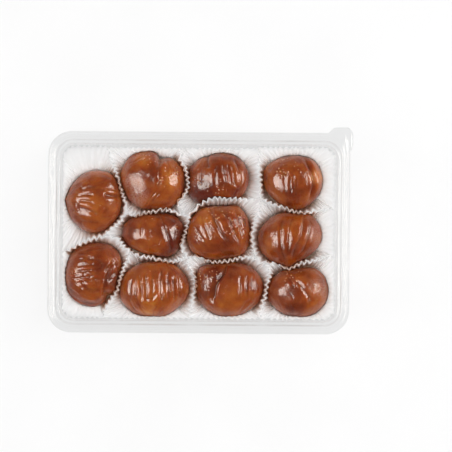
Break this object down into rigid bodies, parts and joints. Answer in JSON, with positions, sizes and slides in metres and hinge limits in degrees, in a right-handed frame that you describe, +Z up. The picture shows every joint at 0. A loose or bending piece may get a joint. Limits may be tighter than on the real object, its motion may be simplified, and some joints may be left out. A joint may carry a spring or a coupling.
{
  "type": "tray of candied chestnuts",
  "caption": "Whole candied chestnuts, glazed amber brown, each in a fluted white paper case, packed in an open clear plastic tray with a stepped rim and a lifting tab.",
  "frame": {"origin": "middle of the tray's flat underside, not counting the lifting tab", "axes": "+X along the tray's long side, towards the end with the lifting tab; +Y along its short side, towards the side with the tab; +Z up out of the open tray"},
  "size_m": [0.1664, 0.113, 0.033],
  "materials": {
    "clear_plastic": "clear thin thermoformed sheet, glossy",
    "white_paper": "thin fluted greaseproof paper, matt",
    "candied_chestnut": "sugar-glazed chestnut, amber to red brown, glossy and slightly translucent"
  },
  "bodies": {
    "root": {"tray": "clear_plastic", "case_1": "white_paper", "case_2": "white_paper", "case_3": "white_paper", "case_4": "white_paper", "case_5": "white_paper", "case_6": "white_paper", "case_7": "white_paper", "case_8": "white_paper", "case_9": "white_paper", "case_10": "white_paper", "case_11": "white_paper", "chestnut_1": "candied_chestnut", "chestnut_2": "candied_chestnut", "chestnut_3": "candied_chestnut", "chestnut_4": "candied_chestnut", "chestnut_5": "candied_chestnut", "chestnut_6": "candied_chestnut", "chestnut_7": "candied_chestnut", "chestnut_8": "candied_chestnut", "chestnut_9": "candied_chestnut", "chestnut_10": "candied_chestnut", "chestnut_11": "candied_chestnut"}
  },
  "joints": []
}
